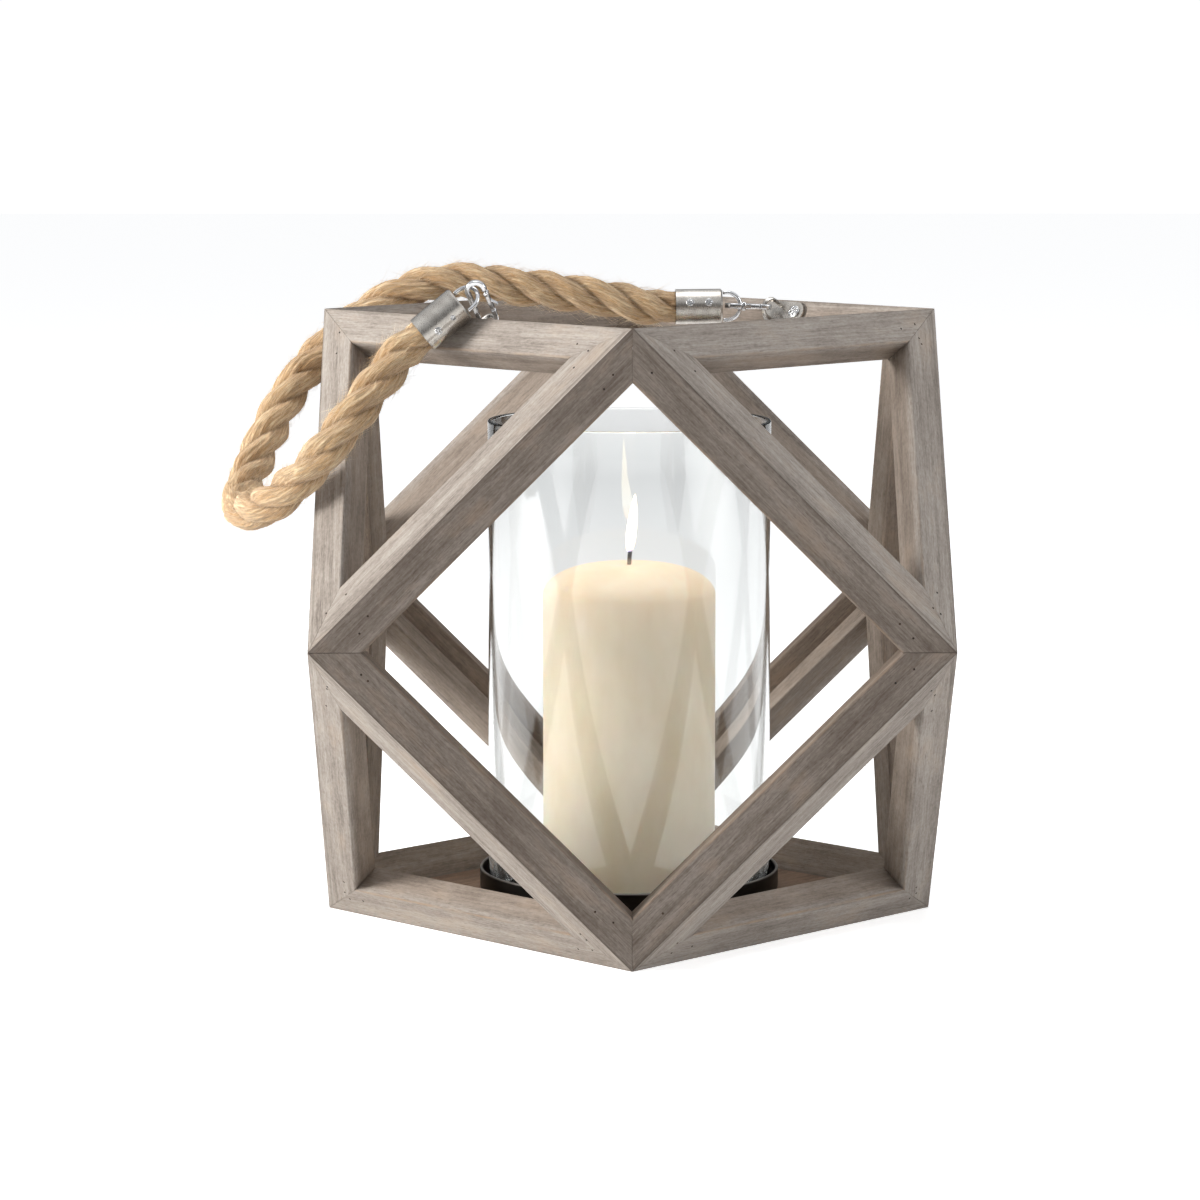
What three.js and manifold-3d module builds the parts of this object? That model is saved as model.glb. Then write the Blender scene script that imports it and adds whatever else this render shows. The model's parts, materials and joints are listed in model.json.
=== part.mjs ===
// Candle lantern: a cuboctahedral frame of mitred wooden sticks with an open top, a tray, glass and
// pillar candle on its base board, and a rope handle clipped to two opposite top sticks.
// Millimetres, +Z up, +X to the right, -Y to the front. The origin is under the middle of the base.
import * as THREE from 'three';
import { mergeVertices } from 'three/addons/utils/BufferGeometryUtils.js';
import Module from 'manifold-3d';

const HALF = 134;               // half the width over opposite diamond frames
const HEIGHT = 2 * HALF;
const STICK_WIDTH = 16;
const STICK_THICKNESS = 15;
const JOINT_GAP = 0.3;          // between touching pieces
const BOARD_TOP = 8.5;
const TRAY_RADIUS = 66.5;
const TRAY_RIM = 19.5;
const TRAY_SHEET = 1;
const GLASS_RADIUS = 62.5;
const GLASS_WALL = 1.8;
const GLASS_TOP = 219;
const CANDLE_RADIUS = 38.25;
const CANDLE_SHOULDER = 141.5;
const CANDLE_TOP = 155.2;
const WICK_RADIUS = 1.1;
const WICK_TOP = 162;
const ROPE_RADIUS = 8;
const FERRULE_RADIUS = 8;
const FERRULE_LENGTH = 21;
const SCREW_SPACING = 8.4;
const BAIL_REACH = 8.4;         // ferrule end to the middle of the bail's wire
const BAIL_HALF = 6.2;
const WIRE_RADIUS = 1;
const HOOK_LENGTH = 23;
const HOOK_WIDTH = 9.4;
const HOOK_RAIL = 2.2;          // width of the rail round the hook's opening
const HOOK_THICKNESS = 2.4;
const GATE_LENGTH = 8.6;
const GATE_WIDTH = 1.8;
const GATE_GAP = 0.4;
const PLATE_LENGTH = 24;
const PLATE_WIDTH = 10;
const PLATE_SHEET = 1.2;
const EYE_RADIUS = 4;
const EYE_RISE = 3.6;           // from the plate to the middle of the eye's arch
const EYE_CENTRE = 4.2;         // from the plate to the middle of the hook's end
const EYE_WIRE = 0.9;
const WIRE_SIDES = 8;
const ARC_STEPS = 8;            // straight stretches in a half circle of wire or plate
const MERGE_DISTANCE = 1e-4;

const wasm = await Module();
wasm.setup();
const lantern = new THREE.Group();

const vec = (x, y, z) => new THREE.Vector3(x, y, z);

function material(color, roughness, metalness) {
  return new THREE.MeshStandardMaterial({ color, roughness, metalness });
}

function solid(geometry) {
  const bare = geometry.index ? geometry.toNonIndexed() : geometry.clone();
  bare.deleteAttribute('normal');
  bare.deleteAttribute('uv');
  const merged = mergeVertices(bare, MERGE_DISTANCE);
  return new wasm.Manifold(new wasm.Mesh({
    numProp: 3,
    vertProperties: new Float32Array(merged.attributes.position.array),
    triVerts: new Uint32Array(merged.index.array),
  }));
}

function geometryOf(manifold) {
  const mesh = manifold.getMesh();
  const geometry = new THREE.BufferGeometry();
  geometry.setAttribute('position', new THREE.BufferAttribute(mesh.vertProperties, 3));
  geometry.setIndex(new THREE.BufferAttribute(mesh.triVerts, 1));
  geometry.computeVertexNormals();
  return geometry;
}

function addPiece(name, geometry, finish, parent = lantern) {
  const mesh = new THREE.Mesh(geometry, finish);
  mesh.name = name;
  parent.add(mesh);
  return mesh;
}

// A group whose X, Y and Z axes point along three given directions.
function turnedGroup(origin, xAxis, yAxis, zAxis) {
  const group = new THREE.Group();
  group.quaternion.setFromRotationMatrix(new THREE.Matrix4().makeBasis(xAxis, yAxis, zAxis));
  group.position.copy(origin);
  lantern.add(group);
  return group;
}

// ---------------------------------------------------------------- wooden frame

const CUT_SIZE = 600;
const BOTTOM_OVERHANG = 14;     // lets a bottom stick's foot reach the floor before it is cut flat

// Keeps the part of a piece where normal . x <= distance.
function keepBelow(piece, normal, distance) {
  const cutter = new THREE.BoxGeometry(CUT_SIZE, CUT_SIZE, CUT_SIZE);
  const turn = new THREE.Quaternion().setFromUnitVectors(vec(0, 0, 1), normal);
  const centre = normal.clone().multiplyScalar(distance + CUT_SIZE / 2);
  cutter.applyMatrix4(new THREE.Matrix4().compose(centre, turn, vec(1, 1, 1)));
  return piece.subtract(solid(cutter));
}

const corner = {
  topFront: vec(0, -HALF, HEIGHT),
  topRight: vec(HALF, 0, HEIGHT),
  topBack: vec(0, HALF, HEIGHT),
  topLeft: vec(-HALF, 0, HEIGHT),
  midFrontLeft: vec(-HALF, -HALF, HALF),
  midFrontRight: vec(HALF, -HALF, HALF),
  midBackRight: vec(HALF, HALF, HALF),
  midBackLeft: vec(-HALF, HALF, HALF),
  footFront: vec(0, -HALF, 0),
  footRight: vec(HALF, 0, 0),
  footBack: vec(0, HALF, 0),
  footLeft: vec(-HALF, 0, 0),
};

// Each frame lists its corners in order round the face, and a name for the stick after each corner.
const DIAMOND_STICKS = ['upper_right', 'lower_right', 'lower_left', 'upper_left'];
const frames = [];
function addFrame(name, cornerNames, stickNames) {
  const points = cornerNames.map((key) => corner[key]);
  const centre = points.reduce((sum, point) => sum.add(point), vec(0, 0, 0)).divideScalar(points.length);
  const normal = centre.clone().sub(vec(0, 0, HALF)).normalize();
  frames.push({ name, points, centre, normal, distance: normal.dot(points[0]), stickNames });
}
addFrame('front', ['topFront', 'midFrontRight', 'footFront', 'midFrontLeft'], DIAMOND_STICKS);
addFrame('right', ['topRight', 'midBackRight', 'footRight', 'midFrontRight'], DIAMOND_STICKS);
addFrame('back', ['topBack', 'midBackLeft', 'footBack', 'midBackRight'], DIAMOND_STICKS);
addFrame('left', ['topLeft', 'midFrontLeft', 'footLeft', 'midBackLeft'], DIAMOND_STICKS);
const SIDES = [
  ['front_left', 'Left', 'Front', 'midFrontLeft'],
  ['front_right', 'Front', 'Right', 'midFrontRight'],
  ['back_right', 'Right', 'Back', 'midBackRight'],
  ['back_left', 'Back', 'Left', 'midBackLeft'],
];
for (const [side, first, second, middle] of SIDES) {
  addFrame(`upper_${side}`, [`top${first}`, `top${second}`, middle], ['top', 'right', 'left']);
  addFrame(`lower_${side}`, [`foot${first}`, `foot${second}`, middle], ['bottom', 'right', 'left']);
}
const TOP = { normal: vec(0, 0, 1), distance: HEIGHT };
const BOTTOM = { normal: vec(0, 0, -1), distance: 0 };

// Two frames meet on the plane that halves the angle between their faces.
function keepOwnSide(piece, own, other) {
  const across = other.normal.clone().sub(own.normal);
  const size = across.length();
  const distance = (other.distance - own.distance) / size - JOINT_GAP / 2;
  return keepBelow(piece, across.divideScalar(size), distance);
}

// The mitre at one end of a stick, halfway between it and the next stick of the same frame.
function mitre(piece, end, ownDirection, nextDirection) {
  const normal = nextDirection.clone().sub(ownDirection).normalize();
  return keepBelow(piece, normal, normal.dot(end) - JOINT_GAP / 2);
}

const FACING_AWAY = -0.1;       // frames whose normals meet at less than this don't touch

function stick(frame, index) {
  const count = frame.points.length;
  const start = frame.points[index];
  const end = frame.points[(index + 1) % count];
  const before = frame.points[(index + count - 1) % count];
  const after = frame.points[(index + 2) % count];
  const along = end.clone().sub(start).normalize();
  const middle = start.clone().add(end).multiplyScalar(0.5);
  const inward = frame.centre.clone().sub(middle).normalize();
  const standsOnFloor = frame.stickNames[index] === 'bottom';
  const overhang = standsOnFloor ? BOTTOM_OVERHANG : 0;
  const width = STICK_WIDTH + overhang;
  const box = new THREE.BoxGeometry(start.distanceTo(end) + 2 * overhang, width, STICK_THICKNESS);
  const side = frame.normal.clone().cross(along).dot(inward) > 0 ? 1 : -1;
  const basis = new THREE.Matrix4().makeBasis(along.clone().multiplyScalar(side), inward, frame.normal);
  const centre = middle.clone()
    .addScaledVector(inward, STICK_WIDTH / 2 - overhang / 2)
    .addScaledVector(frame.normal, -STICK_THICKNESS / 2);
  box.applyMatrix4(basis.setPosition(centre));
  let piece = solid(box);
  piece = mitre(piece, start, along, before.clone().sub(start).normalize());
  piece = mitre(piece, end, along.clone().negate(), after.clone().sub(end).normalize());
  const others = frames.filter((other) => other !== frame);
  const neighbours = others.filter((other) => other.normal.dot(frame.normal) > FACING_AWAY);
  neighbours.push(TOP);
  if (!standsOnFloor) neighbours.push(BOTTOM);
  for (const other of neighbours) {
    piece = keepOwnSide(piece, frame, other);
  }
  return standsOnFloor ? keepBelow(piece, BOTTOM.normal, 0) : piece;
}

const paleWood = material(0xc4b7a6, 0.75, 0);
const greyWood = material(0x8a7f78, 0.75, 0);
for (const frame of frames) {
  const finish = frame.points.length === 4 ? greyWood : paleWood;
  frame.stickNames.forEach((stickName, index) => {
    addPiece(`${frame.name}_frame_${stickName}_stick`, geometryOf(stick(frame, index)), finish);
  });
}

// The base board sits between the bottom sticks, its edges sloped like their inner faces.
function baseBoard() {
  const box = new THREE.BoxGeometry(2 * HALF, 2 * HALF, BOARD_TOP);
  box.translate(0, 0, BOARD_TOP / 2);
  let board = solid(box);
  for (const frame of frames.filter((each) => each.name.startsWith('lower'))) {
    board = keepBelow(board, frame.normal, frame.distance - STICK_THICKNESS - JOINT_GAP);
  }
  return board;
}
addPiece('base_board', geometryOf(baseBoard()), material(0x8c6a52, 0.8, 0));

// ---------------------------------------------------------------- tray, glass and candle

const ROUND_STEPS = 48;

// A solid of revolution about Z from pairs of radius and height.
function turned(profile, steps = ROUND_STEPS) {
  const points = profile.map(([radius, height]) => new THREE.Vector2(radius, height));
  const lathe = new THREE.LatheGeometry(points, steps);
  lathe.rotateX(Math.PI / 2);
  return lathe;
}

const trayFloor = BOARD_TOP + JOINT_GAP;
const trayTop = trayFloor + TRAY_SHEET;
const BEND = 2;
addPiece('tray', turned([
  [0, trayFloor],
  [TRAY_RADIUS - BEND, trayFloor],
  [TRAY_RADIUS, trayFloor + BEND],
  [TRAY_RADIUS, TRAY_RIM],
  [TRAY_RADIUS - TRAY_SHEET, TRAY_RIM],
  [TRAY_RADIUS - TRAY_SHEET, trayFloor + BEND],
  [TRAY_RADIUS - BEND, trayTop],
  [0, trayTop],
]), material(0x2a2725, 0.45, 0.8));

const setDown = trayTop + JOINT_GAP;
addPiece('glass_cylinder', turned([
  [GLASS_RADIUS - GLASS_WALL, setDown],
  [GLASS_RADIUS, setDown],
  [GLASS_RADIUS, GLASS_TOP],
  [GLASS_RADIUS - GLASS_WALL, GLASS_TOP],
  [GLASS_RADIUS - GLASS_WALL, setDown],
]), material(0xe8f0f0, 0.05, 0));

const MELT_RADIUS = 9;          // the flat round the wick
const CANDLE_FOOT = 1.5;
const candleProfile = [
  [0, setDown],
  [CANDLE_RADIUS - CANDLE_FOOT, setDown],
  [CANDLE_RADIUS, setDown + CANDLE_FOOT],
];
const DOME_STEPS = 6;
for (let step = 0; step <= DOME_STEPS; step += 1) {
  const angle = (step / DOME_STEPS) * Math.PI / 2;
  candleProfile.push([
    MELT_RADIUS + (CANDLE_RADIUS - MELT_RADIUS) * Math.cos(angle),
    CANDLE_SHOULDER + (CANDLE_TOP - CANDLE_SHOULDER) * Math.sin(angle),
  ]);
}
candleProfile.push([0, CANDLE_TOP]);
addPiece('candle', turned(candleProfile), material(0xefe6d2, 0.5, 0));

const wickFoot = CANDLE_TOP + JOINT_GAP;
const WICK_STEPS = 10;
const wick = new THREE.CylinderGeometry(WICK_RADIUS, WICK_RADIUS, WICK_TOP - wickFoot, WICK_STEPS);
wick.rotateX(Math.PI / 2);
wick.translate(0, 0, (WICK_TOP + wickFoot) / 2);
addPiece('wick', wick, material(0x2b2420, 0.9, 0));

// ---------------------------------------------------------------- rope handle

// The handle lies flopped over the left top corner: from the right-hand ferrule it crosses the open
// top, drops over the back-left top stick, turns below the corner and climbs to the left ferrule.
const ropeRoute = [
  vec(20.8, 52, 265.4),
  vec(13.5, 51.8, 265.3),
  vec(4, 50.8, 266.6),
  vec(-12.9, 49.8, 269.8),
  vec(-29.6, 49.6, 272.2),
  vec(-51.3, 49.8, 275),
  vec(-68, 50, 276.8),
  vec(-83, 50.4, 277),
  vec(-97, 49.6, 273.4),
  vec(-110.5, 48, 267),
  vec(-124, 44.2, 258),
  vec(-137.2, 38, 246.6),
  vec(-148.6, 29, 232.8),
  vec(-157.4, 17.2, 217.6),
  vec(-164.2, 2.5, 202.6),
  vec(-168.8, -14.5, 191),
  vec(-168.8, -33.5, 184.4),
  vec(-163.4, -52.5, 184),
  vec(-153.6, -69.5, 189.4),
  vec(-141.4, -81.5, 199.8),
  vec(-128, -87.5, 214),
  vec(-115.6, -84.5, 229.6),
  vec(-105, -77.6, 243.4),
  vec(-96.8, -72.6, 253.9),
  vec(-88.7, -71.3, 260.7),
];
const ropeCurve = new THREE.CatmullRomCurve3(ropeRoute, false, 'centripetal');
const ROPE_SIDES = 10;
const ROPE_STEPS = 36;

function roundSection(radius, sides) {
  const section = new THREE.Shape();
  for (let side = 0; side < sides; side += 1) {
    const angle = (side / sides) * 2 * Math.PI;
    const x = radius * Math.cos(angle);
    const y = radius * Math.sin(angle);
    if (side === 0) section.moveTo(x, y);
    else section.lineTo(x, y);
  }
  section.closePath();
  return section;
}

function tube(curve, radius, sides, steps) {
  return new THREE.ExtrudeGeometry(roundSection(radius, sides), { steps, extrudePath: curve });
}
addPiece('rope_handle', tube(ropeCurve, ROPE_RADIUS, ROPE_SIDES, ROPE_STEPS), material(0xb08a5c, 0.95, 0));

// ---------------------------------------------------------------- ferrules, bails and snap hooks

const nickel = material(0xb9b4ab, 0.35, 1);
const chrome = material(0xd6d6d6, 0.15, 1);
const FERRULE_STEPS = 20;
const MOUTH_DEPTH = 1.5;
const MOUTH_WALL = 0.8;
const EDGE = 0.8;
const SCREW_RADIUS = 1.7;
const SCREW_HEAD = 0.9;
const SHANK_RADIUS = 0.8;
const SHANK_LENGTH = 4;
const SHANK_CLEARANCE = 0.4;
const SCREW_STEPS = 12;
const screwHeights = [-1, 1].map((sign) => FERRULE_LENGTH / 2 + sign * SCREW_SPACING / 2);

// The ferrule's own axis is Z, with its mouth at the origin and its closed end at FERRULE_LENGTH.
// Its two screws stand on the side that faces along local X.
function ferruleSolid() {
  const inside = FERRULE_RADIUS - MOUTH_WALL;
  let body = solid(turned([
    [0, MOUTH_DEPTH],
    [inside, MOUTH_DEPTH],
    [inside, 0],
    [FERRULE_RADIUS, 0],
    [FERRULE_RADIUS, FERRULE_LENGTH - EDGE],
    [FERRULE_RADIUS - EDGE, FERRULE_LENGTH],
    [0, FERRULE_LENGTH],
  ], FERRULE_STEPS));
  for (const height of screwHeights) {
    const radius = SHANK_RADIUS + SHANK_CLEARANCE;
    const hole = new THREE.CylinderGeometry(radius, radius, FERRULE_RADIUS, SCREW_STEPS);
    hole.rotateZ(Math.PI / 2);
    hole.translate(FERRULE_RADIUS, 0, height);
    body = body.subtract(solid(hole));
  }
  return body;
}
function screwSolid(height) {
  const profile = [
    [0, -SHANK_LENGTH + SCREW_HEAD],
    [SHANK_RADIUS, -SHANK_LENGTH + SCREW_HEAD],
    [SHANK_RADIUS, 0],
    [SCREW_RADIUS, 0],
    [SCREW_RADIUS, SCREW_HEAD / 2],
    [SCREW_RADIUS / 2, SCREW_HEAD],
    [0, SCREW_HEAD],
  ];
  const screw = turned(profile, SCREW_STEPS);
  screw.rotateY(Math.PI / 2);
  screw.translate(FERRULE_RADIUS + JOINT_GAP / 2, 0, height);
  return screw;
}

const BAIL_STEPS = 24;
const EYE_STEPS = 16;

// A bail is a D of wire; its feet stand on the ferrule's end and its bow reaches out along Z.
function bail() {
  const straight = BAIL_REACH - BAIL_HALF;
  const foot = JOINT_GAP;
  const bow = [vec(0, -BAIL_HALF, foot)];
  for (let step = 0; step <= ARC_STEPS; step += 1) {
    const angle = (step / ARC_STEPS) * Math.PI;
    bow.push(vec(0, -BAIL_HALF * Math.cos(angle), straight + BAIL_HALF * Math.sin(angle)));
  }
  bow.push(vec(0, BAIL_HALF, foot));
  const curve = new THREE.CatmullRomCurve3(bow, false, 'centripetal');
  return tube(curve, WIRE_RADIUS, WIRE_SIDES, BAIL_STEPS);
}

// The hook lies in its XY plane, from x = 0 at the bail's end to x = HOOK_LENGTH at the plate's end.
function stadium(length, width) {
  const radius = width / 2;
  const shape = new THREE.Shape();
  shape.moveTo(radius, -radius);
  shape.lineTo(length - radius, -radius);
  shape.absarc(length - radius, 0, radius, -Math.PI / 2, Math.PI / 2, false);
  shape.lineTo(radius, radius);
  shape.absarc(radius, 0, radius, Math.PI / 2, 1.5 * Math.PI, false);
  return shape;
}
const GATE_START = 6.5;
function hookSolid() {
  const ring = stadium(HOOK_LENGTH, HOOK_WIDTH);
  const hole = stadium(HOOK_LENGTH - 2 * HOOK_RAIL, HOOK_WIDTH - 2 * HOOK_RAIL);
  const holePoints = hole.getPoints(ARC_STEPS).map((p) => new THREE.Vector2(p.x + HOOK_RAIL, p.y));
  ring.holes.push(new THREE.Path(holePoints));
  const options = { depth: HOOK_THICKNESS, bevelEnabled: false, curveSegments: ARC_STEPS };
  const body = new THREE.ExtrudeGeometry(ring, options);
  body.translate(0, 0, -HOOK_THICKNESS / 2);
  const gap = new THREE.BoxGeometry(GATE_LENGTH + 2 * GATE_GAP, 2 * HOOK_RAIL, 2 * HOOK_THICKNESS);
  gap.translate(GATE_START + GATE_LENGTH / 2, HOOK_WIDTH / 2, 0);
  return solid(body).subtract(solid(gap));
}
function gate() {
  const bar = new THREE.BoxGeometry(GATE_LENGTH, GATE_WIDTH, HOOK_THICKNESS);
  bar.translate(GATE_START + GATE_LENGTH / 2, (HOOK_WIDTH - HOOK_RAIL) / 2, 0);
  return bar;
}

// The eye plate lies on its XY plane with its eye standing on +Z at the origin, turned to face the hook.
const PLATE_TAIL = 17;          // from the eye to the far end of the plate
const SCREW_HOLE = 2;
function plateSolid(eyeTurn) {
  const outline = stadium(PLATE_LENGTH, PLATE_WIDTH);
  const hole = new THREE.Path();
  hole.absarc(PLATE_LENGTH - PLATE_WIDTH / 2, 0, SCREW_HOLE, 0, 2 * Math.PI, true);
  outline.holes.push(hole);
  const options = { depth: PLATE_SHEET, bevelEnabled: false, curveSegments: ARC_STEPS };
  const plate = new THREE.ExtrudeGeometry(outline, options);
  plate.translate(PLATE_TAIL - PLATE_LENGTH, 0, 0);
  const arch = [vec(0, -EYE_RADIUS, PLATE_SHEET / 2)];
  for (let step = 0; step <= ARC_STEPS; step += 1) {
    const angle = (step / ARC_STEPS) * Math.PI;
    const height = PLATE_SHEET + EYE_RISE + EYE_RADIUS * Math.sin(angle);
    arch.push(vec(0, -EYE_RADIUS * Math.cos(angle), height));
  }
  arch.push(vec(0, EYE_RADIUS, PLATE_SHEET / 2));
  const curve = new THREE.CatmullRomCurve3(arch, false, 'centripetal');
  const eye = tube(curve, EYE_WIRE, WIRE_SIDES, EYE_STEPS);
  eye.rotateZ(eyeTurn);
  return solid(plate).add(solid(eye));
}

// The part of a direction that is square to an axis.
function squareTo(axis, direction) {
  return direction.clone().addScaledVector(axis, -axis.dot(direction)).normalize();
}
const EYE_SHARE = 0.4;          // how far the hook turns from the bail's wire towards the eye's wire

// One end of the handle: ferrule, screws, bail, snap hook and gate, and the eye plate on its stick.
function handleEnd(side, end) {
  const { mouth, axis, screwSide, eye, plateNormal, plateAlong } = end;
  const across = axis.clone().cross(screwSide).normalize();
  const facing = across.clone().cross(axis).normalize();
  const ferrule = turnedGroup(mouth, facing, across, axis);
  addPiece(`${side}_ferrule`, geometryOf(ferruleSolid()), nickel, ferrule);
  screwHeights.forEach((height, index) => {
    addPiece(`${side}_ferrule_screw_${index + 1}`, screwSolid(height), nickel, ferrule);
  });
  const closedEnd = mouth.clone().addScaledVector(axis, FERRULE_LENGTH);
  const beside = plateNormal.clone().cross(plateAlong).normalize();
  const wire = squareTo(axis, eye.clone().sub(closedEnd).cross(plateAlong));
  const bailGroup = turnedGroup(closedEnd, wire.clone().cross(axis), wire, axis);
  addPiece(`${side}_bail`, bail(), chrome, bailGroup);
  const bow = closedEnd.clone().addScaledVector(axis, BAIL_REACH);
  const hookAxis = eye.clone().sub(bow).normalize();
  const eyeWire = squareTo(hookAxis, hookAxis.clone().cross(plateAlong));
  const thick = squareTo(hookAxis, wire.multiplyScalar(1 - EYE_SHARE).addScaledVector(eyeWire, EYE_SHARE));
  const start = eye.clone().addScaledVector(hookAxis, HOOK_RAIL / 2 - HOOK_LENGTH);
  const hook = turnedGroup(start, hookAxis, thick.clone().cross(hookAxis), thick);
  addPiece(`${side}_snap_hook`, geometryOf(hookSolid()), chrome, hook);
  addPiece(`${side}_snap_hook_gate`, gate(), chrome, hook);
  const plate = turnedGroup(end.plateFoot, plateAlong, beside, plateNormal);
  const hookSide = thick.clone().cross(hookAxis);
  const eyeTurn = Math.atan(hookSide.dot(beside) / hookSide.dot(plateAlong));
  addPiece(`${side}_eye_plate`, geometryOf(plateSolid(eyeTurn)), nickel, plate);
}

// The exposed bevel of a top stick: its normal, and a point on it a given way down from the arris.
function topBevel(frameName) {
  const frame = frames.find((each) => each.name === frameName);
  const normal = TOP.normal.clone().sub(frame.normal).normalize();
  const down = normal.clone().cross(vec(-frame.normal.y, frame.normal.x, 0)).normalize();
  return { normal, down: down.z < 0 ? down : down.negate() };
}

const PLATE_DOWN = 6.4;         // the plate's centre line below the arris, down the bevel
function platePlace(frameName, x) {
  const bevel = topBevel(frameName);
  const outward = frames.find((each) => each.name === frameName).normal;
  const y = Math.sign(outward.y) * (HALF - Math.abs(x));
  const foot = vec(x, y, HEIGHT).addScaledVector(bevel.down, PLATE_DOWN)
    .addScaledVector(bevel.normal, JOINT_GAP);
  const eye = foot.clone().addScaledVector(bevel.normal, PLATE_SHEET + EYE_CENTRE);
  return { foot, eye, normal: bevel.normal };
}

const RIGHT_PLATE_X = 69.5;
const LEFT_PLATE_X = -65;
const rightPlace = platePlace('upper_back_right', RIGHT_PLATE_X);
handleEnd('right', {
  mouth: vec(21.3, 52, 265.4),
  axis: vec(20.8, 0.6, 0.2).normalize(),
  screwSide: vec(0, -1, 0.25).normalize(),
  eye: rightPlace.eye,
  plateFoot: rightPlace.foot,
  plateNormal: rightPlace.normal,
  plateAlong: vec(1, -1, 0).normalize(),
});
const leftPlace = platePlace('upper_front_left', LEFT_PLATE_X);
handleEnd('left', {
  mouth: vec(-88.3, -71.3, 261),
  axis: vec(16.8, 1.3, 13.9).normalize(),
  screwSide: vec(0.35, -1, -0.15).normalize(),
  eye: leftPlace.eye,
  plateFoot: leftPlace.foot,
  plateNormal: leftPlace.normal,
  plateAlong: vec(1, -1, 0).normalize(),
});

export default lantern;
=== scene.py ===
import json
import math

import bmesh
import bpy
import numpy as np
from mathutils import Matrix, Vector


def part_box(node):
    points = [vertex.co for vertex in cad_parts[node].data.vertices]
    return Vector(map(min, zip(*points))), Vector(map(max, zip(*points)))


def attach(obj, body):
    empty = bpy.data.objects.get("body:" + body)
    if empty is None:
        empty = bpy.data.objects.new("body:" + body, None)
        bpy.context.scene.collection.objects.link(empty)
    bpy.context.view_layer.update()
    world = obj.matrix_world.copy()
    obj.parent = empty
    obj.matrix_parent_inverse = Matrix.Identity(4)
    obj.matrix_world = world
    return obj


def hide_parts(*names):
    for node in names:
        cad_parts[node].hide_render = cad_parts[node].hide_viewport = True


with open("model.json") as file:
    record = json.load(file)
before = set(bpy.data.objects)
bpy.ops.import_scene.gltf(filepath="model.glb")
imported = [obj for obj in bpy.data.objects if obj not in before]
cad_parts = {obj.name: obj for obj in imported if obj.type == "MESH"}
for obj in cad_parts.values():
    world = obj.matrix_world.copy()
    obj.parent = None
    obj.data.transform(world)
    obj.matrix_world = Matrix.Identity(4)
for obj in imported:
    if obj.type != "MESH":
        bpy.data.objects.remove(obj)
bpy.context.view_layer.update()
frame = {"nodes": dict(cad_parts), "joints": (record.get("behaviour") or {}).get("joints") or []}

# ------------------------------ the studio
# A camera with a long lens looks slightly down on the lantern's front diamond. The lantern stands on a
# plain pale floor, lit by a broad soft lamp from the left, a wide one overhead and a weak even sky.
CAMERA_PLACE = Vector((-0.01911, -1.86821, 0.38164))
CAMERA_LENS = 127.51
CAMERA_PITCH = 7.41
CAMERA_YAW = -0.189
SKY_LOW = 0.16
SKY_HIGH = 0.42
SKY_MIRRORED_LOW = 0.10
SKY_MIRRORED_HIGH = 0.95
FLOOR_SEEN = 0.67
FLOOR_THROUGH_GLASS = 0.22
FLOOR_BOUNCE = 0.06
FLOOR_REACH = 8
BACKDROP_SEEN = 1.02
LAMP_TARGET = Vector((0, 0, 0.13))


def put_in_scene(name, data):
    """An object for a mesh, a lamp or a camera, linked to the scene."""
    made = bpy.data.objects.new(name, data)
    bpy.context.scene.collection.objects.link(made)
    return made


def mesh_of(name, points, faces):
    mesh = bpy.data.meshes.new(name)
    mesh.from_pydata(np.reshape(points, (-1, 3)).tolist(), [], faces)
    return mesh


def make_camera():
    data = bpy.data.cameras.new("camera")
    data.lens = CAMERA_LENS
    data.sensor_width = 36
    data.clip_end = 50
    camera = put_in_scene("camera", data)
    camera.location = CAMERA_PLACE
    camera.rotation_euler = (math.radians(90 - CAMERA_PITCH), 0, math.radians(CAMERA_YAW))
    bpy.context.scene.camera = camera


def make_lamp(name, place, size, power, colour=(1, 1, 1)):
    data = bpy.data.lights.new(name, "AREA")
    data.shape = "DISK"
    data.size = size
    data.energy = power
    data.color = colour
    lamp = put_in_scene(name, data)
    lamp.location = place
    lamp.rotation_euler = (LAMP_TARGET - Vector(place)).to_track_quat("-Z", "Y").to_euler()


def parts_of(tree, vector):
    """The three parts of a vector, called X, Y and Z."""
    node = tree.nodes.new("ShaderNodeSeparateXYZ")
    tree.links.new(vector, node.inputs[0])
    return node.outputs


def spread(tree, value, start, end, low, high):
    """A Map Range node that carries start to low and end to high."""
    node = tree.nodes.new("ShaderNodeMapRange")
    for key, number in (("From Min", start), ("From Max", end), ("To Min", low), ("To Max", high)):
        node.inputs[key].default_value = number
    tree.links.new(value, node.inputs["Value"])
    return node


def put(tree, kind, **values):
    """Adds a node and sets its properties and its unlinked inputs by name."""
    node = tree.nodes.new(kind)
    for key, value in values.items():
        if key in node.inputs:
            node.inputs[key].default_value = value
        else:
            setattr(node, key, value)
    return node


def maths(tree, operation, first, second=None, third=None, clamp=False):
    """One Math node; each operand is a number or an output socket."""
    node = tree.nodes.new("ShaderNodeMath")
    node.operation = operation
    node.use_clamp = clamp
    for slot, value in enumerate((first, second, third)):
        if value is None:
            continue
        if isinstance(value, (int, float)):
            node.inputs[slot].default_value = value
        else:
            tree.links.new(value, node.inputs[slot])
    return node.outputs[0]


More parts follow.
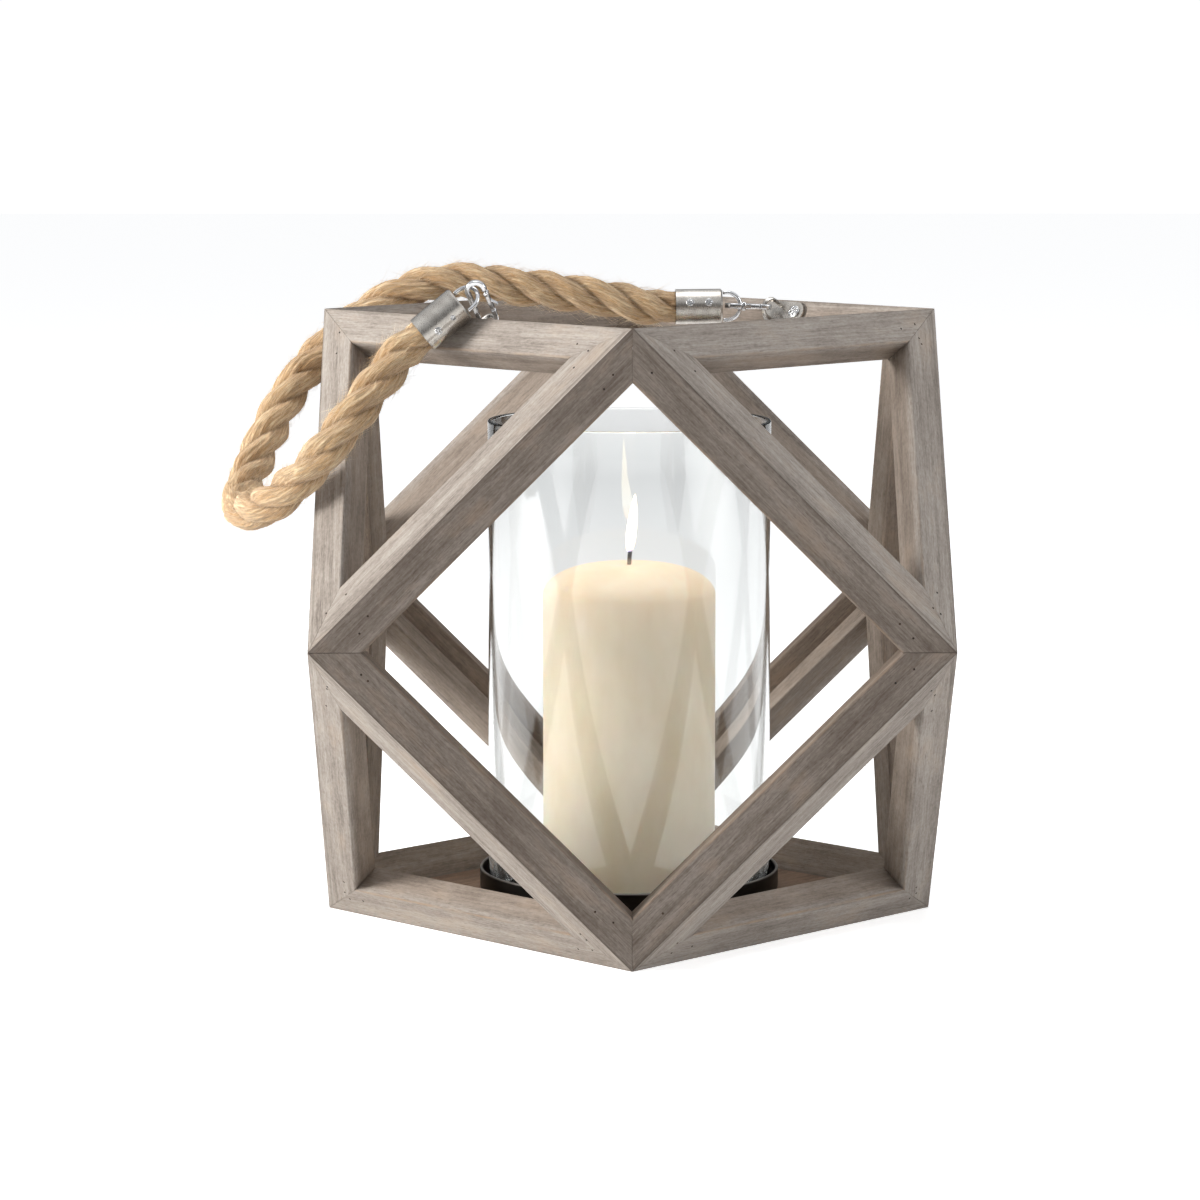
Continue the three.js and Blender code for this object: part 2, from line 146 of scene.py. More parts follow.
def make_world():
    """A white backdrop to the eye and through glass; as light, a sky that is pale above and dim below."""
    world = bpy.data.worlds.new("studio")
    bpy.context.scene.world = world
    world.use_nodes = True
    tree = world.node_tree
    tree.nodes.clear()
    output = tree.nodes.new("ShaderNodeOutputWorld")
    seen = put(tree, "ShaderNodeBackground", Color=(1, 1, 1, 1), Strength=BACKDROP_SEEN)
    up = parts_of(tree, tree.nodes.new("ShaderNodeTexCoord").outputs["Generated"])["Z"]
    height = spread(tree, up, -0.1, 0.9, SKY_LOW, SKY_HIGH)
    mirrored = spread(tree, up, 0.1, 0.8, SKY_MIRRORED_LOW, SKY_MIRRORED_HIGH)
    path = tree.nodes.new("ShaderNodeLightPath")
    strength = tree.nodes.new("ShaderNodeMix")
    tree.links.new(path.outputs["Is Glossy Ray"], strength.inputs[0])
    tree.links.new(height.outputs[0], strength.inputs[2])
    tree.links.new(mirrored.outputs[0], strength.inputs[3])
    sky = put(tree, "ShaderNodeBackground", Color=(0.95, 0.97, 1, 1))
    tree.links.new(strength.outputs[0], sky.inputs["Strength"])
    straight = maths(tree, "MAXIMUM", path.outputs["Is Camera Ray"], path.outputs["Is Transmission Ray"])
    mix = tree.nodes.new("ShaderNodeMixShader")
    tree.links.new(straight, mix.inputs["Fac"])
    tree.links.new(sky.outputs[0], mix.inputs[1])
    tree.links.new(seen.outputs[0], mix.inputs[2])
    tree.links.new(mix.outputs[0], output.inputs["Surface"])


def make_floor():
    """White paper lit from underneath as well, so that only a soft shadow shows on it."""
    size = FLOOR_REACH
    corners = [(-size, -size, 0), (size, -size, 0), (size, size, 0), (-size, size, 0)]
    mesh = mesh_of("floor", corners, [(0, 1, 2, 3)])
    paper = bpy.data.materials.new("floor_paper")
    paper.use_nodes = True
    tree = paper.node_tree
    shader = tree.nodes["Principled BSDF"]
    shader.inputs["Base Color"].default_value = (0.85, 0.85, 0.85, 1)
    shader.inputs["Roughness"].default_value = 0.9
    shader.inputs["Specular IOR Level"].default_value = 0.1
    shader.inputs["Emission Color"].default_value = (1, 1, 1, 1)
    path = tree.nodes.new("ShaderNodeLightPath")
    glow = spread(tree, path.outputs["Is Diffuse Ray"], 0, 1, FLOOR_SEEN, FLOOR_BOUNCE)
    through = spread(tree, path.outputs["Is Transmission Ray"], 0, 1, 0, FLOOR_THROUGH_GLASS)
    tree.links.new(glow.outputs[0], through.inputs["To Min"])
    tree.links.new(through.outputs[0], shader.inputs["Emission Strength"])
    mesh.materials.append(paper)
    put_in_scene("floor", mesh)


bpy.context.scene.view_settings.view_transform = "Standard"
make_camera()
make_world()
make_floor()
make_lamp("window_left", (-1.9, -0.36, 0.72), 0.8, 50, (1, 0.985, 0.96))
make_lamp("overhead", (-0.1, 0.2, 2.2), 1.4, 14)
make_lamp("fill_right", (2.0, -0.5, 0.9), 1.2, 13, (0.96, 0.98, 1))

# ------------------------------ rope handle
# Three strands of jute laid up right-handed into a rope 17 mm thick. Each end is pressed into a metal
# ferrule. The handle is flopped over the left top corner, and loose hairs stand off it everywhere.
ROPE_ROUTE = np.array([
    (20.8, 52, 265.4), (13.5, 51.8, 265.3), (4, 50.8, 266.6), (-12.9, 49.8, 269.8),
    (-29.6, 49.6, 272.2), (-51.3, 49.8, 275), (-68, 50, 276.8), (-83, 50.4, 277),
    (-97, 49.6, 273.4), (-110.5, 48, 267), (-124, 44.2, 258), (-137.2, 38, 246.6),
    (-148.6, 29, 232.8), (-157.4, 17.2, 217.6), (-164.2, 2.5, 202.6), (-168.8, -14.5, 191),
    (-168.8, -33.5, 184.4), (-163.4, -52.5, 184), (-153.6, -69.5, 189.4), (-141.4, -81.5, 199.8),
    (-128, -87.5, 214), (-115.6, -84.5, 229.6), (-105, -77.6, 243.4), (-96.8, -72.6, 253.9),
    (-88.7, -71.3, 260.7),
]) / 1000
ROPE_LAY = 0.055
ROPE_RINGS = 720
ROPE_ROUND = 132
STRAND_OFFSET = 0.0036
STRAND_RADIUS = 0.0050
YARN_LAY = 0.048
FERRULE_BORE = 0.0071
TAPER = 0.011
TUCK = 0.0013
YARN_SINK = 0.0003
PRESS_GAP = 0.0002
BARE_RINGS = 12


def smooth_route(points, count):
    """A centripetal Catmull-Rom curve through the points, sampled at equal steps of length."""
    ends = np.vstack([2 * points[0] - points[1], points, 2 * points[-1] - points[-2]])
    knots = np.concatenate([[0], np.cumsum(np.linalg.norm(np.diff(ends, axis=0), axis=1) ** 0.5)])
    fine = []
    for i in range(1, len(ends) - 2):
        t = np.linspace(knots[i], knots[i + 1], 40, endpoint=False)[:, None]
        p = [ends[i - 1 + k] for k in range(4)]
        k0, k1, k2, k3 = knots[i - 1:i + 3]
        a1 = (k1 - t) / (k1 - k0) * p[0] + (t - k0) / (k1 - k0) * p[1]
        a2 = (k2 - t) / (k2 - k1) * p[1] + (t - k1) / (k2 - k1) * p[2]
        a3 = (k3 - t) / (k3 - k2) * p[2] + (t - k2) / (k3 - k2) * p[3]
        b1 = (k2 - t) / (k2 - k0) * a1 + (t - k0) / (k2 - k0) * a2
        b2 = (k3 - t) / (k3 - k1) * a2 + (t - k1) / (k3 - k1) * a3
        fine.append((k2 - t) / (k2 - k1) * b1 + (t - k1) / (k2 - k1) * b2)
    fine = np.vstack(fine + [points[-1:]])
    run = np.concatenate([[0], np.cumsum(np.linalg.norm(np.diff(fine, axis=0), axis=1))])
    even = np.linspace(0, run[-1], count)
    return np.stack([np.interp(even, run, fine[:, k]) for k in range(3)], axis=1), even


def carried_frame(line):
    """Two directions square to the line at each point, carried along it without twisting."""
    tangent = np.gradient(line, axis=0)
    tangent /= np.linalg.norm(tangent, axis=1)[:, None]
    first = np.cross(tangent[0], (0, 0, 1))
    sides = [first / np.linalg.norm(first)]
    for direction in tangent[1:]:
        side = sides[-1] - direction * (sides[-1] @ direction)
        sides.append(side / np.linalg.norm(side))
    side = np.array(sides)
    return tangent, side, np.cross(tangent, side)


def write_vectors(mesh, label, vectors):
    layer = mesh.attributes.new(label, "FLOAT_VECTOR", "POINT")
    layer.data.foreach_set("vector", vectors.reshape(-1).astype(np.float32))


def grid_object(name, points, caps=False, weave=None):
    """A mesh from a grid of points: rows along, columns round, the last column joined to the first."""
    rows, columns = points.shape[:2]
    index = np.arange(rows * columns).reshape(rows, columns)
    after = np.roll(index, -1, axis=1)
    quads = np.stack([index[:-1], after[:-1], after[1:], index[1:]], axis=-1).reshape(-1, 4)
    faces = quads.tolist()
    if caps:
        faces.append(index[0][::-1].tolist())
        faces.append(index[-1].tolist())
    mesh = mesh_of(name, points, faces)
    mesh.shade_smooth()
    if weave is not None:
        write_vectors(mesh, "weave", weave)
    return put_in_scene(name, mesh)


def strand_profile(angle):
    """The outline of three equal circles set round the middle: the circle that is furthest out wins."""
    turn = (angle + np.pi / 3) % (2 * np.pi / 3) - np.pi / 3
    return STRAND_OFFSET * np.cos(turn) + np.sqrt(STRAND_RADIUS ** 2 - (STRAND_OFFSET * np.sin(turn)) ** 2)


rope_line, rope_run = smooth_route(ROPE_ROUTE, ROPE_RINGS)
rope_length = float(rope_run[-1])
rope_tangent, rope_side, rope_up = carried_frame(rope_line)
rng = np.random.default_rng(4)


def rope_surface():
    """At length s and angle q the radius is the three-strand outline turned by s over the lay, with yarns
    rippling along each strand, some slow unevenness, and a taper to the ferrule's bore at both ends."""
    s = rope_run[:, None]
    q = np.linspace(0, 2 * np.pi, ROPE_ROUND, endpoint=False)[None, :]
    lay_turn = 2 * np.pi * s / ROPE_LAY
    local = q - lay_turn
    radius = strand_profile(local)
    in_strand = (local + np.pi / 3) % (2 * np.pi / 3) - np.pi / 3
    strand_angle = np.arctan2(radius * np.sin(in_strand), radius * np.cos(in_strand) - STRAND_OFFSET)
    yarn = strand_angle + 2 * np.pi * s / YARN_LAY
    wander = 0.6 * np.sin(s / 0.0061 + 2 * q) + 0.35 * np.sin(s / 0.0023 - 5 * q)
    ripple = 0.00034 * np.abs(np.sin(4 * yarn + wander)) + 0.00016 * np.sin(9 * yarn + 3 * wander)
    uneven = 0.00025 * np.sin(s / 0.0131 + 2 * np.sin(q)) + 0.0002 * np.sin(s / 0.0047 + 3 * q)
    radius = radius + ripple + uneven - YARN_SINK
    end = np.minimum(s, rope_length - s) / TAPER
    pressed = 1 - np.clip(end, 0, 1) ** 2 * (3 - 2 * np.clip(end, 0, 1))
    radius = radius * (1 - pressed) + np.minimum(radius, FERRULE_BORE - PRESS_GAP) * pressed
    centre = rope_line.copy()
    centre[0] -= rope_tangent[0] * TUCK
    centre[-1] += rope_tangent[-1] * TUCK
    around = rope_side[:, None] * np.cos(q)[..., None] + rope_up[:, None] * np.sin(q)[..., None]
    strand = np.round(local / (2 * np.pi / 3))
    weave = np.stack([s + 0 * q, strand_angle, strand], axis=-1)
    return centre[:, None] + around * radius[..., None], weave


rope_points, rope_weave = rope_surface()
rope = grid_object("jute_rope", rope_points, caps=True, weave=rope_weave)


def fuzz(count, name, steps=5, reach=(0.002, 0.0065), thick=0.00007):
    """Loose hairs: each starts on the rope's surface, leans along it and curls up and away, as a thin
    three-sided tube."""
    ring = rng.integers(BARE_RINGS, ROPE_RINGS - BARE_RINGS, count)
    q = rng.uniform(0, 2 * np.pi, count)
    out = rope_side[ring] * np.cos(q)[:, None] + rope_up[ring] * np.sin(q)[:, None]
    base = strand_profile(q - 2 * np.pi * rope_run[ring] / ROPE_LAY)
    along = rope_tangent[ring] * rng.choice([-1, 1], count)[:, None]
    aside = np.cross(out, along)
    length = rng.uniform(*reach, count)
    lift = rng.uniform(0.15, 0.75, count)
    curl = rng.normal(0, 0.5, count)
    t = np.linspace(0, 1, steps)[None, :, None]
    path = (rope_line[ring] + out * (base - YARN_SINK)[:, None])[:, None]
    path = path + along[:, None] * (t * length[:, None, None])
    path = path + out[:, None] * (t * length[:, None, None] * lift[:, None, None])
    path = path + aside[:, None] * (t ** 2 * length[:, None, None] * curl[:, None, None])
    corner = np.arange(3) * 2 * np.pi / 3
    taper = 1 - 0.8 * t[..., 0]
    ring_points = aside[:, None, None] * np.cos(corner)[:, None]
    ring_points = ring_points + out[:, None, None] * np.sin(corner)[:, None]
    points = path[:, :, None] + ring_points * (thick * taper)[..., None, None]
    start = np.arange(count * steps * 3).reshape(count, steps, 3)
    nxt = np.roll(start, -1, axis=2)
    quads = np.stack([start[:, :-1], nxt[:, :-1], nxt[:, 1:], start[:, 1:]], axis=-1)
    ends = start[:, 0, ::-1].tolist() + start[:, -1].tolist()
    mesh = mesh_of(name, points, quads.reshape(-1, 4).tolist() + ends)
    mesh.shade_smooth()
    return put_in_scene(name, mesh)


rope_fuzz = fuzz(5200, "rope_loose_hairs")
rope_wisps = fuzz(90, "rope_long_wisps", 9, (0.006, 0.014), 0.00006)


def node_group(name, inputs, outputs):
    """A shader group with its own sockets; returns the group and its input and output nodes."""
    group = bpy.data.node_groups.new(name, "ShaderNodeTree")
    for label, kind in inputs:
        group.interface.new_socket(name=label, in_out="INPUT", socket_type=kind)
    for label, kind in outputs:
        group.interface.new_socket(name=label, in_out="OUTPUT", socket_type=kind)
    return group, group.nodes.new("NodeGroupInput"), group.nodes.new("NodeGroupOutput")


def ramp(tree, factor, stops):
    """A colour ramp over pairs of position and colour."""
    node = tree.nodes.new("ShaderNodeValToRGB")
    elements = node.color_ramp.elements
    while len(elements) < len(stops):
        elements.new(0.5)
    for element, (position, colour) in zip(elements, stops):
        element.position = position
        element.color = (*colour, 1)
    tree.links.new(factor, node.inputs["Fac"])
    return node.outputs["Color"]


def blend_colours(tree, factor, first, second, mode="MIX"):
    """Mixes two colours; each is an output socket or a colour, and the factor a number or a socket."""
    node = tree.nodes.new("ShaderNodeMix")
    node.data_type = "RGBA"
    node.blend_type = mode
    for key, value in ((0, factor), (6, first), (7, second)):
        if isinstance(value, (int, float)):
            node.inputs[key].default_value = value
        elif isinstance(value, tuple):
            node.inputs[key].default_value = (*value, 1)
        else:
            tree.links.new(value, node.inputs[key])
    return node.outputs[2]


def climb(tree, value, start, slope):
    """0 up to the start, then rising by the slope until it reaches 1."""
    return maths(tree, "MULTIPLY", maths(tree, "SUBTRACT", value, start), slope, clamp=True)


def stretched_noise(tree, vector, scale, detail=3, roughness=0.6, distortion=0):
    """Noise on a vector whose three parts are scaled by different amounts, in features per metre."""
    mapping = tree.nodes.new("ShaderNodeMapping")
    mapping.inputs["Scale"].default_value = scale
    tree.links.new(vector, mapping.inputs["Vector"])
    noise = put(
        tree, "ShaderNodeTexNoise", Scale=1, Detail=detail, Roughness=roughness, Distortion=distortion)
    tree.links.new(mapping.outputs[0], noise.inputs["Vector"])
    return noise.outputs["Fac"]


def new_material(name, roughness=0.5, metallic=0.0):
    material = bpy.data.materials.new(name)
    material.use_nodes = True
    shader = material.node_tree.nodes["Principled BSDF"]
    shader.inputs["Roughness"].default_value = roughness
    shader.inputs["Metallic"].default_value = metallic
    return material, material.node_tree, shader


def set_bump(tree, shader, height, strength, distance):
    bump = put(tree, "ShaderNodeBump", Strength=strength, Distance=distance)
    tree.links.new(height, bump.inputs["Height"])
    tree.links.new(bump.outputs[0], shader.inputs["Normal"])


def object_place(tree):
    """The place on a piece, in metres."""
    return tree.nodes.new("ShaderNodeTexCoord").outputs["Object"]


def jute_material():
    """Fibres run along each strand's own helix: noise on length and strand angle, long one way and fine
    the other. Painted shade darkens the grooves between strands and the creases between fibres, and tufts
    are paler."""
    material, tree, shader = new_material("jute", 0.85)
    shader.inputs["Sheen Weight"].default_value = 0.35
    shader.inputs["Sheen Roughness"].default_value = 0.5
    weave = put(tree, "ShaderNodeAttribute", attribute_name="weave").outputs["Vector"]
    part = parts_of(tree, weave)
    slant = maths(tree, "MULTIPLY", part["X"], 2 * math.pi / YARN_LAY)
    joined = tree.nodes.new("ShaderNodeCombineXYZ")
    tree.links.new(part["X"], joined.inputs["X"])
    tree.links.new(maths(tree, "ADD", part["Y"], slant), joined.inputs["Y"])
    tree.links.new(part["Z"], joined.inputs["Z"])
    fibre = stretched_noise(tree, joined.outputs[0], (95, 5.5, 7), 4, 0.7, 0.9)
    fine = stretched_noise(tree, joined.outputs[0], (240, 17, 9), 3, 0.75, 0.5)
    place = object_place(tree)
    patch = stretched_noise(tree, place, (60, 60, 60), 2, 0.5)
    mixed = maths(tree, "ADD", maths(tree, "MULTIPLY", fibre, 0.5),
                  maths(tree, "MULTIPLY", fine, 0.5))
    crossing = maths(tree, "ABSOLUTE", maths(tree, "SUBTRACT", fibre, 0.5))
    crossing = maths(tree, "MULTIPLY", crossing, 26.0, clamp=True)
    crease = maths(tree, "SUBTRACT", 1.0, crossing)
    colour = ramp(tree, mixed, [
        (0.36, (0.34, 0.175, 0.075)), (0.44, (0.70, 0.44, 0.215)),
        (0.52, (0.93, 0.66, 0.37)), (0.62, (1.0, 0.86, 0.60)),
    ])
    # painted shade: the creases between fibres are darkened towards dark brown
    shadow = maths(tree, "MULTIPLY", crease, 0.45)
    colour = blend_colours(tree, shadow, colour, (0.36, 0.19, 0.08))
    # painted shade: the grooves between the three strands are darkened
    groove = maths(tree, "ABSOLUTE", part["Y"])
    shade = ramp(tree, maths(tree, "DIVIDE", groove, 2.2), [
        (0.0, (1, 1, 1)), (0.60, (0.93, 0.90, 0.87)), (0.88, (0.42, 0.33, 0.25)),
    ])
    colour = blend_colours(tree, 1.0, colour, shade, "MULTIPLY")
    tint = ramp(tree, patch, [(0.35, (0.88, 0.84, 0.80)), (0.65, (1, 1, 1))])
    colour = blend_colours(tree, 1.0, colour, tint, "MULTIPLY")
    tree.links.new(colour, shader.inputs["Base Color"])
    relief = maths(tree, "MULTIPLY_ADD", crease, -0.25, mixed)
    set_bump(tree, shader, relief, 0.8, 0.0012)
    return material


def hair_material():
    """Single jute hairs, pale gold, a little different along their length."""
    material, tree, shader = new_material("jute_hair", 0.7)
    place = object_place(tree)
    patch = stretched_noise(tree, place, (90, 90, 90), 1, 0.5)
    colour = ramp(tree, patch, [(0.35, (0.75, 0.52, 0.30)), (0.65, (1.0, 0.84, 0.60))])
    tree.links.new(colour, shader.inputs["Base Color"])
    return material


def fit(piece, finish, body="frame", node=None):
    """Gives a piece its finish, the body it rides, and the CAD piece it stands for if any."""
    piece.data.materials.append(finish)
    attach(piece, body)
    if node:
        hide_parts(node)


fit(rope, jute_material(), node="rope_handle")
jute_hair = hair_material()
fit(rope_fuzz, jute_hair)
fit(rope_wisps, jute_hair)

# ------------------------------ wooden frame
# Forty mitred softwood sticks, glued and pinned into four diamond and eight triangle frames. The wood
# is brushed, stained brown and washed grey; sanded arrises show the bare orange-brown wood.
EASED = 0.0009
JOINT_EASING = 0.10
GLUE_SWELL = 0.00013
BARE_WEIGHT = 100.0
MOST_SWELLS = 2.2
PARALLEL = 0.999
WOOD_PAUSE = 0.37
SIDE_START = 0.0012
SIDE_REACH = 0.004
ARRIS_WEAR = (0.0011, 0.0013)
JOINT_SHADE_REACH = 0.0009


def merged_copy(node):
    """A CAD piece as a bmesh with its doubles merged and its flat faces made whole."""
    shape = bmesh.new()
    shape.from_mesh(frame["nodes"][node].data)
    bmesh.ops.remove_doubles(shape, verts=shape.verts, dist=2e-6)
    bmesh.ops.dissolve_limit(
        shape, angle_limit=math.radians(1), verts=shape.verts, edges=shape.edges, delimit={"NORMAL"})
    return shape


def close_joints(shape, is_joint, swell):
    """Moves each joint face out by the swell: every corner goes to where its faces' moved planes meet, as
    nearly as they do, and always stays in the bare faces, which weigh the most."""
    moved = []
    for corner in shape.verts:
        glued = np.array([is_joint(np.array(face.normal)) for face in corner.link_faces])
        weight = np.where(glued, 1.0, BARE_WEIGHT)
        normals = np.array([face.normal for face in corner.link_faces]) * weight[:, None]
        step = np.linalg.lstsq(normals, swell * glued * weight, rcond=1e-9)[0]
        moved.append(step * min(1, MOST_SWELLS * swell / max(np.linalg.norm(step), swell)))
    for corner, step in zip(shape.verts, moved):
        corner.co += Vector(step)


def eased_copy(node, name, width, segments=2, angle=25, share=None, is_joint=None):
    """A copy of a CAD piece with its sharp edges rounded; share gives how much of the width each edge
    gets."""
    shape = merged_copy(node)
    if is_joint:
        close_joints(shape, is_joint, GLUE_SWELL)
    weight = shape.edges.layers.float.new("bevel_weight_edge")
    for edge in shape.edges:
        sharp = len(edge.link_faces) == 2 and edge.calc_face_angle() > math.radians(angle)
        edge[weight] = (share(edge) if share else 1.0) if sharp else 0.0
    mesh = bpy.data.meshes.new(name)
    shape.to_mesh(mesh)
    shape.free()
    made = put_in_scene(name, mesh)
    if width > 0:
        bevel = made.modifiers.new("eased", "BEVEL")
        bevel.limit_method = "WEIGHT"
        bevel.width = width
        bevel.segments = segments
        finished = made.evaluated_get(bpy.context.evaluated_depsgraph_get())
        made.data = bpy.data.meshes.new_from_object(finished)
        made.data.name = name
        made.modifiers.clear()
    made.data.shade_smooth()
    made.modifiers.new("flat_faces", "WEIGHTED_NORMAL").keep_sharp = True
    return made


def face_direction(frame_name):
    """The outward direction of a frame's face, from the words of its name."""
    words = {"left": (-1, 0, 0), "right": (1, 0, 0), "front": (0, -1, 0), "back": (0, 1, 0),
             "upper": (0, 0, 1), "lower": (0, 0, -1)}
    return np.sum([words[word] for word in frame_name.split("_")], axis=0).astype(float)


def read_points(mesh):
    points = np.empty(len(mesh.vertices) * 3)
    mesh.vertices.foreach_get("co", points)
    return points.reshape(-1, 3)


frame_half = -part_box("front_frame_upper_left_stick")[0].y
STICK_WIDTH = 0.016


def stick_axes(node):
    """Along the stick, in from its outer edge, and out of its face; then where the outer edge, the face and
    the two ends lie along them."""
    raw = face_direction(node.split("_frame_")[0])
    middle = np.array((0, 0, frame_half)) + raw * frame_half * (1 if np.count_nonzero(raw) == 1 else 2 / 3)
    normal = raw / np.linalg.norm(raw)
    points = np.unique(read_points(frame["nodes"][node].data).round(6), axis=0)
    along = np.linalg.svd(points - points.mean(0), full_matrices=False)[2][0]
    along -= normal * (along @ normal)
    along /= np.linalg.norm(along)
    inward = middle - points.mean(0)
    inward -= normal * (inward @ normal) + along * (inward @ along)
    inward /= np.linalg.norm(inward)
    run = points @ along
    outer = (points @ inward).max() - STICK_WIDTH
    return along, inward, normal, outer, (points @ normal).max(), run.min(), run.max()


def stick_piece(node, seed):
    """A stick whose inner arrises are sanded round and whose glued edges stay crisp. Each point carries its
    distance along the stick, in from its outer edge and down from its face, for the grain to follow."""
    along, inward, normal, outer, face, _, _ = stick_axes(node)

    def arris_share(edge):
        ends = np.array([vertex.co for vertex in edge.verts])
        run = (ends[1] - ends[0]) / np.linalg.norm(ends[1] - ends[0])
        exposed = abs(run @ along) > PARALLEL and ends.mean(0) @ inward - outer > 0.6 * STICK_WIDTH
        return 1.0 if exposed else JOINT_EASING

    up = np.array((0, 0, 1))
    bare = [normal, -normal, inward, -up, up - normal, -up - normal]
    bare = np.array([each / np.linalg.norm(each) for each in bare])

    def is_glued(direction):
        return (bare @ direction).max() < PARALLEL

    piece = eased_copy(node, "wood_" + node, EASED, share=arris_share, is_joint=is_glued)
    points = read_points(piece.data)
    local = np.stack([points @ along, points @ inward - outer, face - points @ normal], axis=1)
    write_vectors(piece.data, "stick", local)
    write_vectors(piece.data, "grain", local + (WOOD_PAUSE * seed, 0.1 * seed, 0))
    return piece


def washed_grain_group():
    """Wood grain on a vector that runs along the wood: broad streaks, fine fibres and open pores."""
    tree, entry, out = node_group(
        "washed_grain", [("Vector", "NodeSocketVector")],
        [("Streak", "NodeSocketFloat"), ("Fibre", "NodeSocketFloat"), ("Pore", "NodeSocketFloat")])
    vector = entry.outputs["Vector"]
    streak = stretched_noise(tree, vector, (7, 190, 190), 4, 0.6, 0.5)
    fibre = stretched_noise(tree, vector, (60, 1300, 1300), 4, 0.7, 0.3)
    pore = stretched_noise(tree, vector, (170, 2300, 2300), 2, 0.5)
    pore = maths(tree, "MULTIPLY", maths(tree, "SUBTRACT", 0.42, pore), 9.0, clamp=True)
    tree.links.new(streak, out.inputs["Streak"])
    tree.links.new(fibre, out.inputs["Fibre"])
    tree.links.new(pore, out.inputs["Pore"])
    return tree


WASHED_GRAIN = washed_grain_group()


def near(tree, value, place, reach):
    """1 where a value is at a place, falling to 0 a reach away from it."""
    away = maths(tree, "ABSOLUTE", maths(tree, "SUBTRACT", value, place))
    away = maths(tree, "MULTIPLY", away, 1 / reach, clamp=True)
    return maths(tree, "SUBTRACT", 1.0, away)


def wood_material(name, dark, middle, pale, bare, worn):
    """Grey wash over brown stain. The wash wears off the inner arrises in patches, a line of painted shade
    darkens the outer, glued edge where the frames meet, and the sides keep more of the warm stain and are
    darkened as painted shade."""
    material, tree, shader = new_material(name, 0.74)
    shader.inputs["Specular IOR Level"].default_value = 0.22
    vector = put(tree, "ShaderNodeAttribute", attribute_name="grain").outputs["Vector"]
    grain = put(tree, "ShaderNodeGroup", node_tree=WASHED_GRAIN)
    tree.links.new(vector, grain.inputs["Vector"])
    cloud = stretched_noise(tree, vector, (30, 70, 70), 4, 0.6)
    speck = stretched_noise(tree, vector, (420, 900, 900), 3, 0.7)
    total = maths(tree, "MULTIPLY", grain.outputs["Streak"], 0.30)
    total = maths(tree, "MULTIPLY_ADD", grain.outputs["Fibre"], 0.26, total)
    total = maths(tree, "MULTIPLY_ADD", cloud, 0.24, total)
    total = maths(tree, "MULTIPLY_ADD", speck, 0.20, total)
    colour = ramp(tree, total, [(0.37, dark), (0.49, middle), (0.60, pale)])
    side = put(tree, "ShaderNodeAttribute", attribute_name="stick")
    part = parts_of(tree, side.outputs["Vector"])
    across, depth = part["Y"], part["Z"]
    # the sides: warmer from the stain, and darker from painted shade
    inner = climb(tree, depth, SIDE_START, 1 / SIDE_REACH)
    warm = ramp(tree, total, [(0.38, tuple(0.55 * c for c in bare)), (0.60, bare)])
    colour = blend_colours(tree, maths(tree, "MULTIPLY", inner, 0.5), colour, warm)
    rubbed = climb(tree, cloud, 0.54, 2.2)
    colour = blend_colours(tree, rubbed, colour, worn)
    patchy = stretched_noise(tree, vector, (45, 260, 260), 4, 0.65)
    patchy = climb(tree, patchy, 0.36, 4.5)
    arris = maths(tree, "MULTIPLY", near(tree, across, STICK_WIDTH, ARRIS_WEAR[0]),
                  near(tree, depth, 0.0, ARRIS_WEAR[1]))
    wear = maths(tree, "MULTIPLY", arris, patchy)
    colour = blend_colours(tree, wear, colour, worn)
    # painted shade: a dark line along the outer, glued edge, in the valley where the frames meet
    joint = maths(tree, "MULTIPLY", near(tree, across, 0.0, JOINT_SHADE_REACH), 0.55)
    colour = blend_colours(tree, joint, colour, dark)
    pitted = maths(tree, "MULTIPLY", grain.outputs["Pore"], 0.55)
    colour = blend_colours(tree, pitted, colour, dark)
    tree.links.new(colour, shader.inputs["Base Color"])
    height = maths(tree, "MULTIPLY_ADD", grain.outputs["Pore"], -0.7, grain.outputs["Fibre"])
    height = maths(tree, "MULTIPLY_ADD", speck, 0.5, height)
    set_bump(tree, shader, height, 0.45, 0.0004)
    return material


diamond_wood = wood_material(
    "diamond_wood", (0.105, 0.080, 0.063), (0.205, 0.168, 0.140), (0.315, 0.272, 0.237),
    (0.25, 0.178, 0.125), (0.30, 0.205, 0.135))
triangle_wood = wood_material(
    "triangle_wood", (0.17, 0.142, 0.120), (0.345, 0.300, 0.262), (0.475, 0.430, 0.385),
    (0.28, 0.205, 0.150), (0.40, 0.290, 0.205))
stick_nodes = sorted(name for name in frame["nodes"] if name.endswith("_stick"))
for number, node in enumerate(stick_nodes):
    stick = stick_piece(node, number)
    is_triangle = node.startswith(("upper", "lower"))
    fit(stick, triangle_wood if is_triangle else diamond_wood, node=node)

PIN_RADIUS = 0.0005
PIN_SHARE = 0.7
PIN_RISE = 0.00005
PIN_SIDES = 10
PIN_FROM_END = (0.019, 0.027)
PIN_STRAY = 0.002
PIN_ACROSS = (0.42, 0.6)


